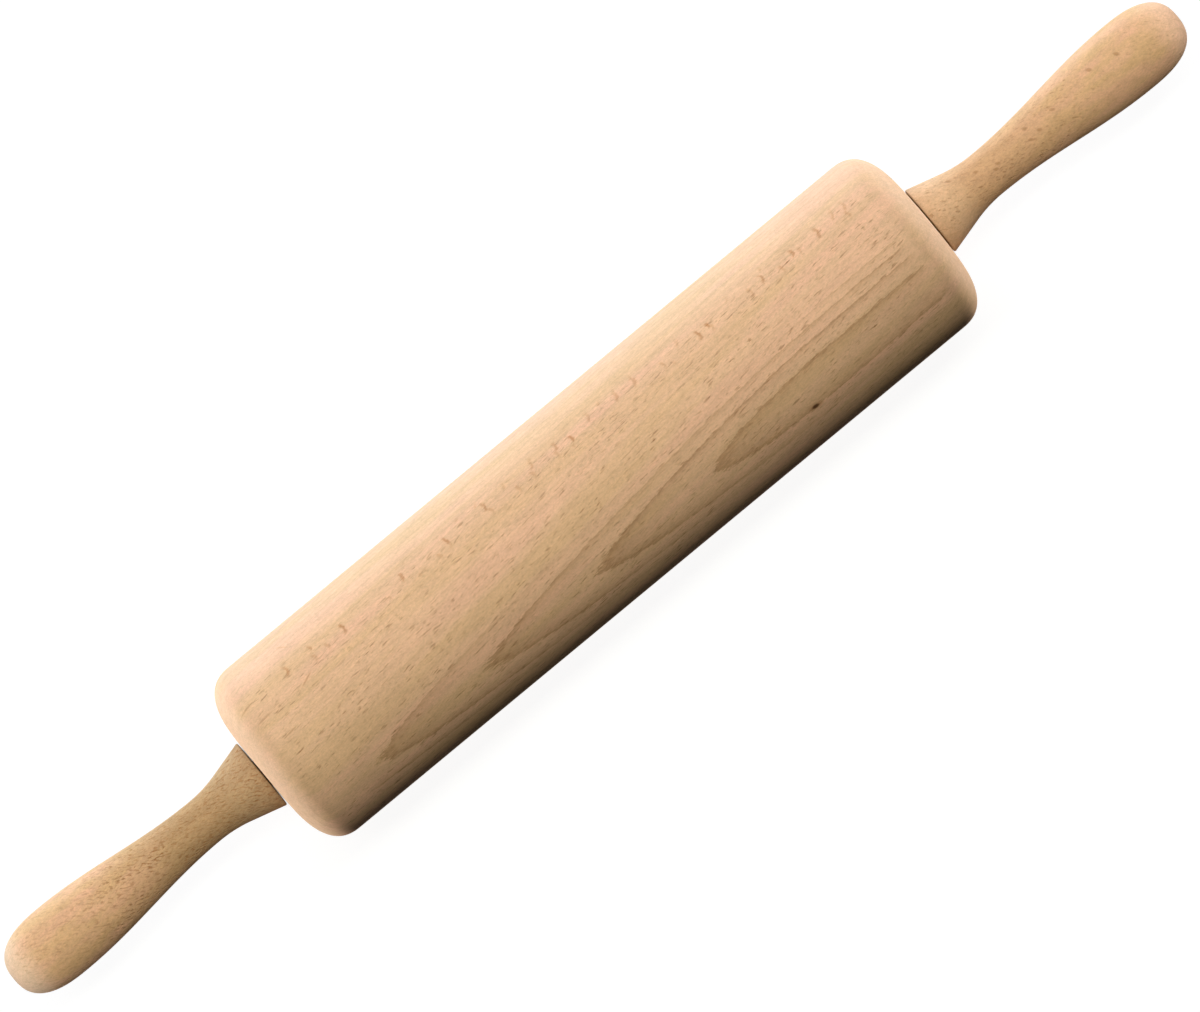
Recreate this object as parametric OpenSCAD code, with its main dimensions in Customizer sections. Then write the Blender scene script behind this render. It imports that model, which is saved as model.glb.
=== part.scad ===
// Beech rolling pin with two turned handles and a roller that revolves on ball bearings.
// The spin axis lies along X, +Z is up, and the origin is on the axis at the roller's middle.
// Every turned piece is drawn along +Z for the right-hand side and then laid along +X.

/* [Roller] */
// Length of the roller between its two end faces
roller_length = 250; // [200:1:400]
// Diameter of the roller
roller_diameter = 60; // [50:1:90]
// How far the rounded rim reaches along the roller
rim_reach = 12; // [4:0.5:20]
// How far the rounded rim drops towards the axis
rim_drop = 20; // [4:0.5:20]
// Squareness of the rim, where 2 is an ellipse
rim_squareness = 2.6; // [2:0.1:4]
// Diameter of the bore that the axle runs through
axle_bore_diameter = 8; // [7:0.1:9]
// Depth of the wider clearance behind each bearing
relief_depth = 2.5; // [1.5:0.1:6]
// Width of the ledge that each outer ring rests on
ledge_width = 1.7; // [1:0.1:1.9]

/* [Handles] */
// Length of each handle
handle_length = 93.2; // [80:0.1:130]
// Diameter of the flared base beside the roller
base_diameter = 23; // [22:0.1:30]
// Diameter of the neck, the thinnest place
neck_diameter = 14.4; // [13:0.1:20]
// Diameter of the belly, the thickest place of the grip
belly_diameter = 22.8; // [21:0.1:30]
// Distance from the base to the neck
neck_at = 21.5; // [16:0.5:30]
// Distance from the base to the belly
belly_at = 75; // [60:1:79]
// Radius of the hollow between the flare and the neck
cove_radius = 40; // [24:0.5:45]
// Squareness of the tip, where 2 is an ellipse
tip_squareness = 2.6; // [2:0.1:4]
// Small bevel of the edge at the base
base_edge = 0.5; // [0.2:0.1:1]
// Gap between the base and the roller's end face
handle_gap = 0.4; // [0.2:0.1:2]

/* [Axle] */
// Diameter of the steel axle
axle_diameter = 6; // [5:0.1:6.5]
// Length of axle held in each handle
axle_grip = 52; // [30:1:60]
// Length of the knurled stretch at each end of the axle
knurl_length = 24; // [8:1:28]
// Height of the knurl's teeth above the axle
knurl_height = 0.2; // [0.1:0.05:0.3]
// Number of teeth round the knurl
knurl_teeth = 24; // [16:1:32]
// Bevel at each end of the axle
axle_bevel = 0.6; // [0.2:0.1:1]
// Room left past the axle's end in each handle
axle_end_room = 1.5; // [0.5:0.1:4]

/* [Bearings] */
// Outside diameter of each bearing
bearing_diameter = 19; // [18:0.1:21]
// Width of each bearing
bearing_width = 6; // [5.6:0.1:8]
// How far each bearing sits below the roller's end face
bearing_recess = 0.5; // [0.2:0.1:2]
// Diameter of the balls
ball_diameter = 3.5; // [3:0.1:3.8]
// Number of balls in each bearing
ball_count = 7; // [5:1:9]
// Depth of the groove that the balls run in, in each ring
groove_depth = 0.4; // [0.2:0.05:0.6]
// Thickness of the cage's ribbon
cage_ribbon = 0.5; // [0.3:0.05:0.8]
// Width of the cage, measured away from the axle
cage_width = 1.5; // [1:0.1:1.6]
// Wall of the cage round each ball
cage_wall = 0.2; // [0.15:0.05:0.3]
// Thickness of the seals
seal_thickness = 0.5; // [0.3:0.05:0.6]
// How far each seal sits below the bearing's face
seal_recess = 0.2; // [0.1:0.05:0.3]
// Depth of the groove that holds the seal's outer edge
seal_groove = 0.5; // [0.3:0.05:0.7]

/* [Washers and rings] */
// Wall of the thrust washer, from its hole to its edge
washer_wall = 1.5; // [1:0.1:1.7]
// Thickness of the snap ring
snap_thickness = 0.7; // [0.5:0.05:1.2]
// Depth of the snap ring's groove in the axle
snap_groove = 0.4; // [0.2:0.05:0.6]
// Wall of the snap ring, from inside to outside
snap_wall = 1.7; // [1.2:0.1:1.9]
// Opening of the snap ring, in degrees
snap_opening = 70; // [40:5:100]

/* [Fits] */
// Radial press of the outer ring in the roller's seat
seat_press = 0.01; // [0:0.005:0.02]
// Radial clearance of the inner ring on the axle
ring_clearance = 0.02; // [0.01:0.005:0.04]
// Radial clearance of the thrust washer on the axle
washer_clearance = 0.15; // [0.1:0.05:0.2]
// Radial clearance of the handle's bore on the plain axle
handle_clearance = 0.05; // [0.03:0.01:0.1]
// Clearance of a ball in its groove
ball_clearance = 0.06; // [0.05:0.01:0.1]
// Clearance of a ball in its cage pocket
pocket_clearance = 0.08; // [0.05:0.01:0.1]
// Radial clearance of the seal's lip over the inner ring
lip_clearance = 0.15; // [0.1:0.05:0.3]

/* [Hidden] */
SIDES = ["left", "right"];
PER_SIDE = [
    "handle", "outer_race", "inner_race", "balls", "ball_cage",
    "outboard_seal", "inboard_seal", "thrust_washer", "snap_ring"
];

$fn = 96;
overcut = 1;

// Number of straight steps along each curved stretch of an outline
rim_steps = 20;
cove_steps = 12;
swell_steps = 22;
tip_steps = 18;

// Places along the axle, counted from the roller's middle
roller_face = roller_length / 2;
handle_base = roller_face + handle_gap;
axle_end = handle_base + axle_grip;
bearing_face = roller_face - bearing_recess;
bearing_middle = bearing_face - bearing_width / 2;
bearing_back = bearing_face - bearing_width;
snap_middle = bearing_back - snap_thickness / 2;

// Radii of the roller
roller_radius = roller_diameter / 2;
seat_radius = bearing_diameter / 2 - seat_press;
relief_radius = bearing_diameter / 2 - ledge_width;

// Radii of the handle
base_radius = base_diameter / 2;
neck_radius = neck_diameter / 2;
belly_radius = belly_diameter / 2;

// Radii of the axle and of what sits on it
axle_radius = axle_diameter / 2;
handle_bore_radius = axle_radius + handle_clearance;
inner_bore_radius = axle_radius + ring_clearance;
washer_bore_radius = axle_radius + washer_clearance;
snap_inner_radius = axle_radius - snap_groove;

// Radii of the bearing, worked out from the circle on which the balls' centres run
pitch_radius = (axle_radius + bearing_diameter / 2) / 2;
ball_radius = ball_diameter / 2;
track_radius = ball_radius + ball_clearance;
inner_land_radius = pitch_radius - track_radius + groove_depth;
outer_land_radius = pitch_radius + track_radius - groove_depth;
pocket_radius = ball_radius + pocket_clearance;
seal_inner_radius = inner_land_radius + lip_clearance;
seal_outer_radius = outer_land_radius + seal_groove;
seal_middle = bearing_width / 2 - seal_recess - seal_thickness / 2;

// Power that is 0 at a base of 0, where the superellipse below starts and ends
function power(base, exponent) = base <= 0 ? 0 : pow(base, exponent);

// Points of a superellipse's quarter, from its top to its side: [along, across] from its centre
function quarter(reach, drop, squareness, steps) = [
    for (i = [0 : steps])
        let (turn = 90 * i / steps)
        [reach * power(sin(turn), 2 / squareness), drop * power(cos(turn), 2 / squareness)]
];

// Slope of the straight flare that runs from the base and just meets the hollow's circle
flare_rise = neck_radius + cove_radius - base_radius;
flare_slope = asin(cove_radius / sqrt(neck_at * neck_at + flare_rise * flare_rise))
    - atan(flare_rise / neck_at);

// Lays a piece drawn along +Z for the right-hand side along the pin's own axis, on either side
module lay(side) {
    mirror([side == "left" ? 1 : 0, 0, 0])
        rotate([0, 90, 0])
            children();
}

// Flat ring from one radius to another, as thick as given, centred on the given place
module ring_profile(inner, outer, place, thickness) {
    translate([inner, place - thickness / 2])
        square([outer - inner, thickness]);
}

// Points of the rounded rim at the right-hand end, from the straight side to the end face
rim_points = [
    for (point = quarter(rim_reach, rim_drop, rim_squareness, rim_steps))
        [roller_radius - rim_drop + point[1], roller_face - rim_reach + point[0]]
];

// Outline of the whole roller, with the left-hand rim as the right-hand one reversed
module roller_outline() {
    polygon(concat(
        [[0, -roller_face]],
        [for (i = [rim_steps : -1 : 0]) [rim_points[i][0], -rim_points[i][1]]],
        rim_points,
        [[0, roller_face]]
    ));
}

// Seat of one bearing and the wider clearance behind it
module bearing_seat() {
    translate([0, 0, bearing_back])
        cylinder(r = seat_radius, h = roller_face - bearing_back + overcut);
    translate([0, 0, bearing_back - relief_depth])
        cylinder(r = relief_radius, h = relief_depth + overcut);
}

module roller() {
    color("#dfb994")
        difference() {
            lay("right") rotate_extrude() roller_outline();
            lay("right") cylinder(d = axle_bore_diameter, h = roller_length + 2 * overcut, center = true);
            for (side = SIDES)
                lay(side) bearing_seat();
        }
}

// Points of the handle's outline at the base: the flat, its bevelled edge and the flare's start
base_points = [
    [0, 0],
    [base_radius - base_edge, 0],
    [base_radius - base_edge * tan(flare_slope), base_edge]
];

// Points of the hollow, from the end of the flare to the neck
cove_points = [
    for (i = [0 : cove_steps])
        let (turn = flare_slope * (1 - i / cove_steps))
        [neck_radius + cove_radius * (1 - cos(turn)), neck_at - cove_radius * sin(turn)]
];

// Points of the soft swell of the grip, from past the neck to short of the belly
swell_points = [
    for (i = [1 : swell_steps - 1])
        let (share = i / swell_steps)
        [
            neck_radius + (belly_radius - neck_radius) * (1 - cos(180 * share)) / 2,
            neck_at + (belly_at - neck_at) * share
        ]
];

// Points of the rounded tip, from the belly to the far end
tip_points = [
    for (point = quarter(handle_length - belly_at, belly_radius, tip_squareness, tip_steps))
        [point[1], belly_at + point[0]]
];

module handle(side) {
    color("#d3a376")
        lay(side)
            translate([0, 0, handle_base])
                difference() {
                    rotate_extrude()
                        polygon(concat(base_points, cove_points, swell_points, tip_points));
                    translate([0, 0, -overcut])
                        cylinder(r = handle_bore_radius, h = axle_grip + axle_end_room + overcut);
                }
}

// Outline across the knurl: a tooth and a hollow by turns
knurl_points = [
    for (i = [0 : 2 * knurl_teeth - 1])
        let (
            turn = 180 * i / knurl_teeth,
            radius = i % 2 == 0 ? axle_radius + knurl_height : axle_radius
        )
        [radius * cos(turn), radius * sin(turn)]
];

// Knurled stretch and bevelled end at one end of the axle
module axle_tip() {
    translate([0, 0, axle_end - axle_bevel - knurl_length])
        linear_extrude(height = knurl_length)
            polygon(knurl_points);
    translate([0, 0, axle_end - axle_bevel])
        cylinder(r1 = axle_radius, r2 = axle_radius - axle_bevel, h = axle_bevel);
}

// Groove that holds one snap ring
module snap_ring_groove() {
    rotate_extrude()
        ring_profile(snap_inner_radius, axle_radius + overcut, snap_middle, snap_thickness);
}

module axle() {
    color("#b9bcc0")
        difference() {
            union() {
                lay("right") cylinder(r = axle_radius, h = 2 * (axle_end - axle_bevel), center = true);
                for (side = SIDES)
                    lay(side) axle_tip();
            }
            for (side = SIDES)
                lay(side) snap_ring_groove();
        }
}

// The groove in both rings and the seals' grooves are cut about the bearing's middle
module outer_race(side) {
    color("#c9ccd1")
        lay(side)
            translate([0, 0, bearing_middle])
                rotate_extrude()
                    difference() {
                        ring_profile(outer_land_radius, bearing_diameter / 2, 0, bearing_width);
                        translate([pitch_radius, 0]) circle(r = track_radius);
                        for (place = [-seal_middle, seal_middle])
                            ring_profile(outer_land_radius - overcut, seal_outer_radius,
                                place, seal_thickness);
                    }
}

module inner_race(side) {
    color("#c9ccd1")
        lay(side)
            translate([0, 0, bearing_middle])
                rotate_extrude()
                    difference() {
                        ring_profile(inner_bore_radius, inner_land_radius, 0, bearing_width);
                        translate([pitch_radius, 0]) circle(r = track_radius);
                    }
}

// Puts a copy on each ball's centre, with the first one straight up
module at_each_ball() {
    for (i = [0 : ball_count - 1])
        rotate([0, 0, 180 + 360 * i / ball_count])
            translate([pitch_radius, 0, 0])
                children();
}

module balls(side) {
    color("#e3e6ea")
        lay(side)
            translate([0, 0, bearing_middle])
                at_each_ball() sphere(r = ball_radius);
}

// Band of the cage between its inner and outer radius, as wide as given along the axle
module cage_band(width) {
    rotate_extrude()
        ring_profile(pitch_radius - cage_width / 2, pitch_radius + cage_width / 2, 0, width);
}

// Round bar through each ball's centre, pointing away from the axle
module at_each_pocket(radius) {
    at_each_ball()
        rotate([0, 90, 0])
            cylinder(r = radius, h = cage_width + 2 * overcut, center = true);
}

// Ribbon ring with an eye round each ball, trimmed to the cage's band
module ball_cage(side) {
    color("#b08d4a")
        lay(side)
            translate([0, 0, bearing_middle])
                difference() {
                    union() {
                        cage_band(cage_ribbon);
                        intersection() {
                            cage_band(bearing_width);
                            at_each_pocket(pocket_radius + cage_wall);
                        }
                    }
                    at_each_pocket(pocket_radius);
                }
}

// A seal at the given place, measured from the bearing's middle towards the handle
module seal(side, place) {
    color("#2b2b2d")
        lay(side)
            translate([0, 0, bearing_middle])
                rotate_extrude()
                    ring_profile(seal_inner_radius, seal_outer_radius, place, seal_thickness);
}

module outboard_seal(side) {
    seal(side, seal_middle);
}

module inboard_seal(side) {
    seal(side, -seal_middle);
}

// Fills the space between the inner ring and the handle's base
module thrust_washer(side) {
    color("#4b382a")
        lay(side)
            rotate_extrude()
                ring_profile(washer_bore_radius, washer_bore_radius + washer_wall,
                    (bearing_face + handle_base) / 2, handle_base - bearing_face);
}

module snap_ring(side) {
    color("#7d8188")
        lay(side)
            rotate([0, 0, snap_opening / 2])
                rotate_extrude(angle = 360 - snap_opening)
                    ring_profile(snap_inner_radius, snap_inner_radius + snap_wall,
                        snap_middle, snap_thickness);
}

roller();
axle();
handle("left");  // handle_left
handle("right");  // handle_right
outer_race("left");  // outer_race_left
outer_race("right");  // outer_race_right
inner_race("left");  // inner_race_left
inner_race("right");  // inner_race_right
balls("left");  // balls_left
balls("right");  // balls_right
ball_cage("left");  // ball_cage_left
ball_cage("right");  // ball_cage_right
outboard_seal("left");  // outboard_seal_left
outboard_seal("right");  // outboard_seal_right
inboard_seal("left");  // inboard_seal_left
inboard_seal("right");  // inboard_seal_right
thrust_washer("left");  // thrust_washer_left
thrust_washer("right");  // thrust_washer_right
snap_ring("left");  // snap_ring_left
snap_ring("right");  // snap_ring_right
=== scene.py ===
"""A beech rolling pin: a revolving roller on ball bearings between two turned handles.

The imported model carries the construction. This scene turns the three wooden pieces again in
fine steps, gives every piece its finish, and lights and frames the pin as a studio does.
"""

import logging
import math
from dataclasses import dataclass, field
from enum import Enum
from typing import ClassVar

import bpy
from mathutils import Matrix, Vector


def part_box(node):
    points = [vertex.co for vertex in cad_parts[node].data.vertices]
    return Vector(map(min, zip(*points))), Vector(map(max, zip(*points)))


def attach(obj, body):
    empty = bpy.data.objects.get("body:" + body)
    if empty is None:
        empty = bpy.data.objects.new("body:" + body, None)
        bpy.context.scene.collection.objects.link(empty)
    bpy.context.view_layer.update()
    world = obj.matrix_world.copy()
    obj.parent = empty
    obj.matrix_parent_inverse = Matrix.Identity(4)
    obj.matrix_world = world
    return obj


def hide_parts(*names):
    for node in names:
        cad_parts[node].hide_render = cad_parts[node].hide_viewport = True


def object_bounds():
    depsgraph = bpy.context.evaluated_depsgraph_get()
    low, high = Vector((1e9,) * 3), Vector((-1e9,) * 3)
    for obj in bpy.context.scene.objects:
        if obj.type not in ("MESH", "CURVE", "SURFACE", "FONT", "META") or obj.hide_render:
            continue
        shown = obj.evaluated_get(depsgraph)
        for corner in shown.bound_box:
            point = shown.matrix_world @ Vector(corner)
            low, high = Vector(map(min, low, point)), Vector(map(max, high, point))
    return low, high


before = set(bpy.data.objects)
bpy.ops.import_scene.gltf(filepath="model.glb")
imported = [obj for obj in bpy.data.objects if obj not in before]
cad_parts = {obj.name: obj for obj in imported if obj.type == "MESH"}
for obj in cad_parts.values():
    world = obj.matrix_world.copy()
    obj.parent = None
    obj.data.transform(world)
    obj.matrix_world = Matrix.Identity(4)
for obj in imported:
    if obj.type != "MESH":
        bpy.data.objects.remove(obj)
cad_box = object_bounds()

log = logging.getLogger("rolling_pin")

MM = 0.001
PER_MM = 1 / MM

Triple = tuple[float, float, float]
# red, green and blue
Colour = Triple
# degrees about X, Y and Z
Turn = Triple
# along the axis and out from it
Place = tuple[float, float]
# where a change starts and where it is complete
Span = tuple[float, float]
# length and width of one swell of noise
Cell = tuple[float, float]
# a node's own settings, and the values or links of its sockets
Settings = dict[str, object]
Inputs = dict[str | int, object]

WHITE = (1.0, 1.0, 1.0)
SMOOTH_BELOW = math.radians(35)
WELD = 0.001 * MM


class Side(Enum):
    """The two ends of the pin, each with its direction along the axis."""

    LEFT = ("left", -1)
    RIGHT = ("right", 1)

    @property
    def word(self) -> str:
        """Ending of the names of the nodes on this side."""
        return self.value[0]

    @property
    def way(self) -> int:
        """Sign of the axis on this side."""
        return self.value[1]


class Lines(Enum):
    """The way that the tool's fine lines run on metal."""

    ROUND = "round the pin"
    ALONG = "along the pin"


def linear(red: int, green: int, blue: int) -> Colour:
    """Turns a colour as a screen shows it into the light that it stands for.

    Args:
        red: red, from 0 to 255.
        green: green, from 0 to 255.
        blue: blue, from 0 to 255.

    Returns:
        The same colour in linear values from 0 to 1.
    """

    def channel(value: int) -> float:
        """Undoes the screen's curve for one channel."""
        share = value / 255
        return share / 12.92 if share <= 0.04045 else ((share + 0.055) / 1.055) ** 2.4

    return channel(red), channel(green), channel(blue)


class Sock:
    """One output of a node: a value, a place or a colour, whose methods add the nodes that work on it."""

    def __init__(self, graph: "Graph", end: bpy.types.NodeSocket) -> None:
        """Wraps an output socket of the graph."""
        self.graph = graph
        self.end = end

    def _math(self, operation: str, *values: "Sock | float") -> "Sock":
        """Result of a Math node with these inputs in order."""
        return self.graph.node("Math", {"operation": operation}, dict(enumerate(values)))

    def __add__(self, other: "Sock | float") -> "Sock":
        """Sum."""
        return self._math("ADD", self, other)

    __radd__ = __add__

    def __sub__(self, other: "Sock | float") -> "Sock":
        """Difference."""
        return self._math("SUBTRACT", self, other)

    def __rsub__(self, other: "Sock | float") -> "Sock":
        """Difference from a number."""
        return self._math("SUBTRACT", other, self)

    def __mul__(self, other: "Sock | float") -> "Sock":
        """Product."""
        return self._math("MULTIPLY", self, other)

    __rmul__ = __mul__

    def __truediv__(self, other: "Sock | float") -> "Sock":
        """Quotient."""
        return self._math("DIVIDE", self, other)

    def __pow__(self, other: "Sock | float") -> "Sock":
        """Power."""
        return self._math("POWER", self, other)

    def __abs__(self) -> "Sock":
        """Size without the sign."""
        return self._math("ABSOLUTE", self)

    def larger(self, other: "Sock") -> "Sock":
        """Whichever of the two values is larger."""
        return self._math("MAXIMUM", self, other)

    def above_zero(self) -> "Sock":
        """This value, or 0 where it is below 0."""
        return (self + abs(self)) * 0.5

    def fraction(self) -> "Sock":
        """Part past the last whole number."""
        return self._math("FRACT", self)

    def turn_from(self, other: "Sock") -> "Sock":
        """Angle whose tangent is this value over the other, in radians."""
        return self._math("ARCTAN2", self, other)

    def hypotenuse(self, other: "Sock") -> "Sock":
        """Longest side of the right triangle whose short sides are this value and the other."""
        return (self ** 2 + other ** 2) ** 0.5

    def rise(self, low: float, high: float) -> "Sock":
        """Goes softly from 0 to 1 while the value goes from low to high.

        Args:
            low: value at which the rise starts.
            high: value at which it ends; below low, the rise is a fall.

        Returns:
            The share of the rise.
        """
        lowest, highest = min(low, high), max(low, high)
        inputs = {"Value": self, "From Min": lowest, "From Max": highest}
        risen = self.graph.node("MapRange", {"interpolation_type": "SMOOTHSTEP"}, inputs)
        return risen if low < high else 1 - risen

    def joined(self, second: "Sock", third: "Sock | float" = 0.0) -> "Sock":
        """Vector of this value and two more."""
        return self.graph.node("CombineXYZ", {}, {0: self, 1: second, 2: third})

    def parts(self) -> tuple["Sock", "Sock", "Sock"]:
        """The three parts of this vector."""
        split = self.graph.add("SeparateXYZ", {}, {0: self})
        return tuple(Sock(self.graph, end) for end in split.outputs)

    def length(self) -> "Sock":
        """Length of this vector."""
        return self.graph.node("VectorMath", {"operation": "LENGTH"}, {0: self}, "Value")

    def vector_math(self, operation: str, other: "Sock | Triple") -> "Sock":
        """Result of a Vector Math node on this vector and another."""
        return self.graph.node("VectorMath", {"operation": operation}, {0: self, 1: other})

    def in_cells(self, cell: Cell) -> "Sock":
        """Counts this place in cells of a length along the first direction and a width across it."""
        length, width = cell
        return self.vector_math("MULTIPLY", (1 / length, 1 / width, 1 / width))

    def turned(self, turn: Turn, centre: Triple = (0, 0, 0)) -> "Sock":
        """Counts this place along the directions of a block turned about its centre."""
        inputs = {"Vector": self, "Location": centre, "Rotation": tuple(map(math.radians, turn))}
        return self.graph.node("Mapping", {"vector_type": "TEXTURE"}, inputs)

    def noise(self, detail: float = 2, roughness: float = 0.5, flat: bool = False) -> "Sock":
        """Smooth noise about one half, one swell to each cell of this place; detail adds finer layers."""
        inputs = {"Vector": self, "Scale": 1.0, "Detail": detail, "Roughness": roughness}
        return self.graph.node("TexNoise", {"noise_dimensions": "2D" if flat else "3D"}, inputs)

    def scattered(self) -> tuple["Sock", "Sock"]:
        """Scatters points on a flat sheet, one to each cell of this place.

        Returns:
            The nearest point's random colour and its place.
        """
        inputs = {"Vector": self, "Scale": 1.0}
        made = self.graph.add("TexVoronoi", {"voronoi_dimensions": "2D"}, inputs)
        return Sock(self.graph, made.outputs["Color"]), Sock(self.graph, made.outputs["Position"])

    def ramped(self, stops: tuple[float, ...], colours: tuple[Colour, ...]) -> "Sock":
        """Turns this value into a colour.

        Args:
            stops: values in rising order.
            colours: the colour at each of them.

        Returns:
            The colour.
        """
        made = self.graph.add("ValToRGB", {}, {0: self})
        elements = made.color_ramp.elements
        while len(elements) < len(stops):
            elements.new(0.5)
        for element, stop, colour in zip(elements, stops, colours):
            element.position = stop
            element.color = (*colour, 1)
        return Sock(self.graph, made.outputs["Color"])

    def between(self, first: "Sock | Colour", second: "Sock | Colour") -> "Sock":
        """Mixes two colours, with this value as the share of the second.

        Args:
            first: the colour at a share of 0.
            second: the colour at a share of 1.

        Returns:
            The mixed colour.
        """
        ends = [end if isinstance(end, Sock) else (*end, 1.0) for end in (first, second)]
        inputs = {0: self, 6: ends[0], 7: ends[1]}
        return self.graph.node("Mix", {"data_type": "RGBA"}, inputs, 2)

    def dappled(self, value: "Sock", depth: float) -> "Sock":
        """Makes this colour lighter and darker by up to a depth, with a value about one half."""
        inputs = {0: self, "Scale": 1 - depth + 2 * depth * value}
        return self.graph.node("VectorMath", {"operation": "SCALE"}, inputs)


class Graph:
    """The node graph of one material or of the world."""

    def __init__(self, owner: bpy.types.ID) -> None:
        """Clears the graph of a new material or world.

        Args:
            owner: the material or world.
        """
        owner.use_nodes = True
        self.tree = owner.node_tree
        self.tree.nodes.clear()

    def add(self, kind: str, settings: Settings, inputs: Inputs) -> bpy.types.Node:
        """Adds any node.

        Args:
            kind: the node's type, without the words ShaderNode that all of them start with.
            settings: its own settings.
            inputs: values or links of its sockets, by name or number.

        Returns:
            The node.
        """
        made = self.tree.nodes.new(f"ShaderNode{kind}")
        for name, value in settings.items():
            setattr(made, name, value)
        for name, value in inputs.items():
            if isinstance(value, Sock):
                self.tree.links.new(value.end, made.inputs[name])
            else:
                made.inputs[name].default_value = value
        return made

    def node(self, kind: str, settings: Settings, inputs: Inputs, output: str | int = 0) -> Sock:
        """Adds any node, as add does, and hands back one of its outputs by name or number."""
        return Sock(self, self.add(kind, settings, inputs).outputs[output])

    def place(self) -> Sock:
        """Place on the piece in millimetres, in the pin's own frame."""
        metres = self.node("TexCoord", {}, {}, "Object")
        return metres.vector_math("MULTIPLY", (PER_MM, PER_MM, PER_MM))

    def seen_directly(self) -> Sock:
        """Tells what the lens sees, straight or by a mirror or glass, from light that falls on things.

        Returns:
            1 for what is seen, and 0 for the rest.
        """
        names = ("Is Camera Ray", "Is Glossy Ray", "Is Transmission Ray")
        straight, mirrored, through = (self.node("LightPath", {}, {}, name) for name in names)
        return straight.larger(mirrored).larger(through)

    def surface(self, colour: Sock, roughness: Sock, height: Sock, finish: "Finish") -> None:
        """Ends the graph with its surface.

        Args:
            colour: base colour.
            roughness: roughness.
            height: height of the fine relief, from 0 to 1.
            finish: the finish, which says how deep the relief is and how the surface shines.
        """
        bump = {"Height": height, "Distance": finish.relief, "Strength": 1.0}
        inputs = {
            "Base Color": colour,
            "Roughness": roughness,
            "Normal": self.node("Bump", {}, bump),
            "Metallic": finish.metallic,
            "Specular IOR Level": finish.specular,
        }
        shader = self.node("BsdfPrincipled", {}, inputs)
        self.add("OutputMaterial", {}, {"Surface": shader})


@dataclass(frozen=True)
class Finish:
    """A finish that can be laid on pieces."""

    name: str
    relief: ClassVar[float] = 0.005 * MM
    metallic: ClassVar[float] = 0.0
    specular: ClassVar[float] = 0.5

    def material(self) -> bpy.types.Material:
        """Finds the finish's material, or makes it the first time it is asked for.

        Returns:
            The material.
        """
        title = f"{self.name}_finish"
        found = bpy.data.materials.get(title)
        if found:
            return found
        made = bpy.data.materials.new(title)
        self.paint(Graph(made))
        return made

    def paint(self, graph: Graph) -> None:
        """Fills the graph of the finish's material."""
        raise NotImplementedError

    def lay_on(self, piece: bpy.types.Object) -> None:
        """Gives a piece this finish all over.

        Args:
            piece: the piece.
        """
        piece.data.materials.clear()
        piece.data.materials.append(self.material())
        log.info("%s: %s, %d faces", piece.name, self.name, len(piece.data.polygons))


@dataclass(frozen=True)
class Spot:
    """An oval spot or fine line on a piece's skin, placed along it and round it from the top."""

    along: float
    round_: float
    half_length: float
    half_width: float
    colour: Colour
    depth: float
    turn: float = 0
    edge: Span = (1.0, 0.35)

    def lay(self, sheet: Sock, colour: Sock) -> Sock:
        """Adds the spot.

        Args:
            sheet: place on the unrolled skin, in millimetres.
            colour: the colour so far.

        Returns:
            The colour with the spot.
        """
        own = sheet.turned((0, 0, self.turn), (self.along, self.round_, 0))
        off = own.in_cells((self.half_length, self.half_width)).length()
        return (off.rise(*self.edge) * self.depth).between(colour, self.colour)


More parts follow.
